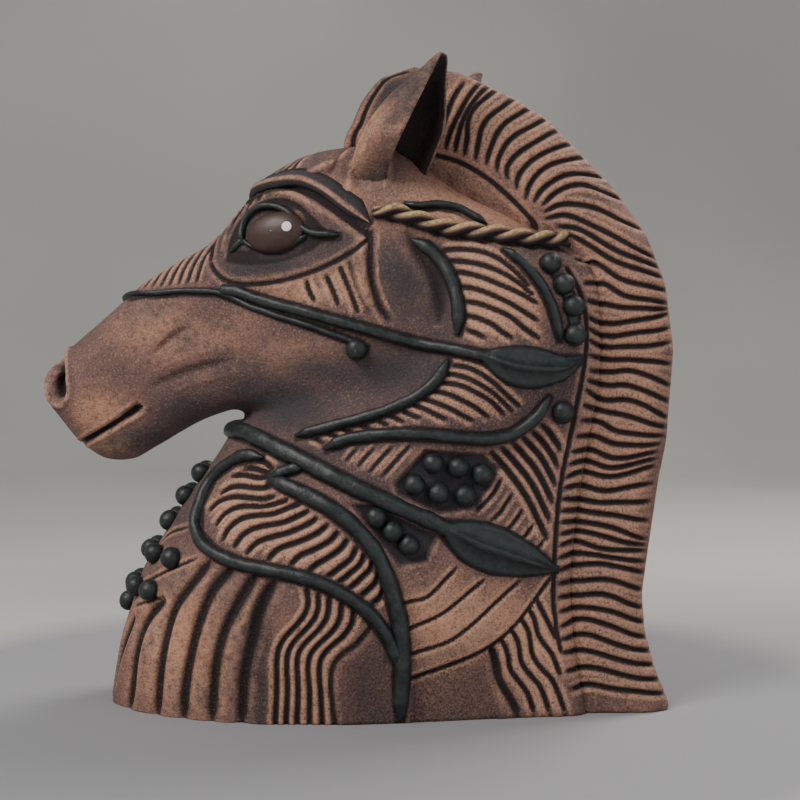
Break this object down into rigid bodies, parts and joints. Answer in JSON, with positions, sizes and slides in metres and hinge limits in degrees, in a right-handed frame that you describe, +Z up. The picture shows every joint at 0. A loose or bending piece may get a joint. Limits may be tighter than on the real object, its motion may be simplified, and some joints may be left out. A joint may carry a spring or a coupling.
{
  "type": "clay horse head sculpture with armour bands",
  "caption": "Free-standing hollow fired-clay horse head and neck with a thick carved mane, dressed with black clay armour bands, leaf-ended straps, a twisted browband and berry studs.",
  "frame": {"origin": "middle of the base on the surface it stands on, at the centre of the outline's box", "axes": "nose towards -X, mane towards +X, across the bust along Y with the horse's left side at -Y, +Z up"},
  "size_m": [0.393, 0.1522, 0.4008],
  "materials": {
    "terracotta": "matte fired terracotta clay with an oxide wash, darker in the grooves",
    "black_slip": "satin black slip on fired clay",
    "ochre_slip": "matte ochre slip rubbed over dark clay",
    "brown_glaze": "glossy brown glaze on fired clay"
  },
  "bodies": {
    "root": {"head_shell": "terracotta", "neck_shell": "terracotta", "mane": "terracotta", "nose_cord": "black_slip", "throat_strap": "black_slip", "cheek_strap_left": "black_slip", "jaw_band_upper_left": "black_slip", "jaw_band_lower_left": "black_slip", "crown_band_left": "black_slip", "nape_band_left": "black_slip", "collar_band_left": "black_slip", "breast_band_left": "black_slip", "eyelids_left": "black_slip", "nape_berries_left": "black_slip", "nape_stud_left": "black_slip", "cheek_stud_left": "black_slip", "berry_panel_upper_left": "black_slip", "berry_panel_lower_left": "black_slip", "browband_left": "ochre_slip", "brow_left": "terracotta", "ear_left": "terracotta", "eye_left": "brown_glaze", "cheek_strap_right": "black_slip", "jaw_band_upper_right": "black_slip", "jaw_band_lower_right": "black_slip", "crown_band_right": "black_slip", "nape_band_right": "black_slip", "collar_band_right": "black_slip", "breast_band_right": "black_slip", "eyelids_right": "black_slip", "nape_berries_right": "black_slip", "nape_stud_right": "black_slip", "cheek_stud_right": "black_slip", "berry_panel_upper_right": "black_slip", "berry_panel_lower_right": "black_slip", "browband_right": "ochre_slip", "brow_right": "terracotta", "ear_right": "terracotta", "eye_right": "brown_glaze", "chest_berry_1": "black_slip", "chest_berry_2": "black_slip", "chest_berry_3": "black_slip", "chest_berry_4": "black_slip", "chest_berry_5": "black_slip", "chest_berry_6": "black_slip", "chest_berry_7": "black_slip", "chest_berry_8": "black_slip", "chest_berry_9": "black_slip", "chest_berry_10": "black_slip", "chest_berry_11": "black_slip", "chest_berry_12": "black_slip", "chest_berry_13": "black_slip", "chest_berry_14": "black_slip", "chest_berry_15": "black_slip", "chest_berry_16": "black_slip", "chest_berry_17": "black_slip", "chest_berry_18": "black_slip", "chest_berry_19": "black_slip", "chest_berry_20": "black_slip"}
  },
  "joints": []
}
